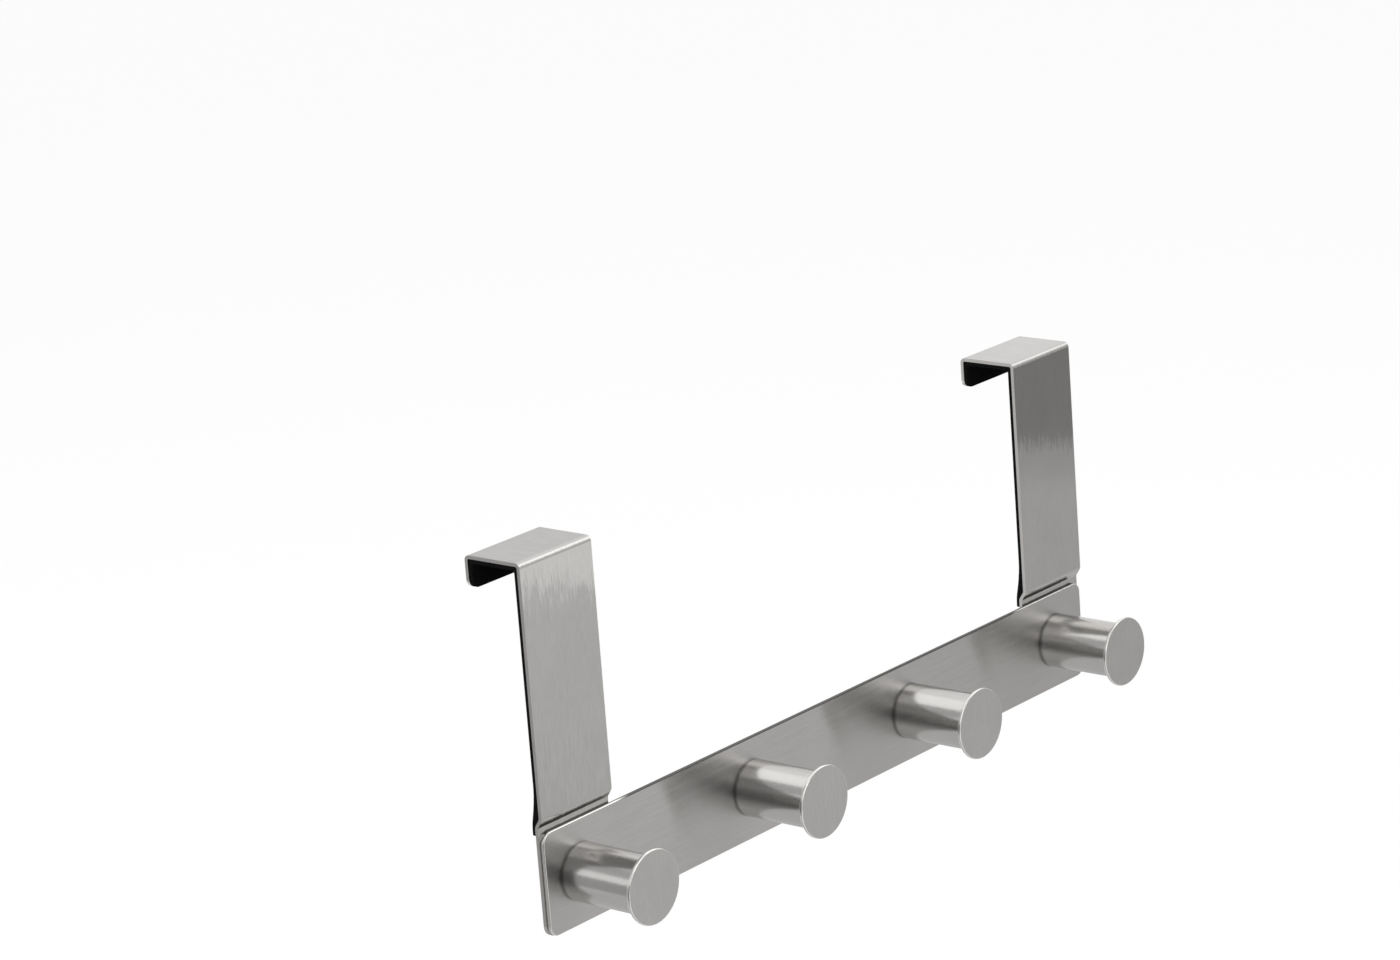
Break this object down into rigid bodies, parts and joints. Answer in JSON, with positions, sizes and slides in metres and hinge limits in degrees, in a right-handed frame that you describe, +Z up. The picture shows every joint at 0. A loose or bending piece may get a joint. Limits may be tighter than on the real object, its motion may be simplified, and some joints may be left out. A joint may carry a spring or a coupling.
{
  "type": "over door hook",
  "caption": "Brushed steel rail with round headed pegs, carried by foam-lined straps that hook over the top edge of a cabinet door.",
  "frame": {"origin": "midway between the straps, in the middle of the door's thickness, on the plane of the door's top edge", "axes": "+X along the rail to the right seen from the front, -Y to the front where the pegs point, +Z up"},
  "size_m": [0.305, 0.0543, 0.128],
  "materials": {
    "rail_steel": "brushed",
    "strap_steel": "brushed",
    "post_steel": "satin",
    "head_steel": "brushed",
    "screw_steel": "plain",
    "foam": "matte"
  },
  "bodies": {
    "root": {"hook_rail": "rail_steel", "left_door_strap": "strap_steel", "right_door_strap": "strap_steel", "left_foam_liner": "foam", "right_foam_liner": "foam", "peg_1_post": "post_steel", "peg_1_head": "head_steel", "peg_1_screw": "screw_steel", "peg_2_post": "post_steel", "peg_2_head": "head_steel", "peg_2_screw": "screw_steel", "peg_3_post": "post_steel", "peg_3_head": "head_steel", "peg_3_screw": "screw_steel", "peg_4_post": "post_steel", "peg_4_head": "head_steel", "peg_4_screw": "screw_steel"}
  },
  "joints": []
}
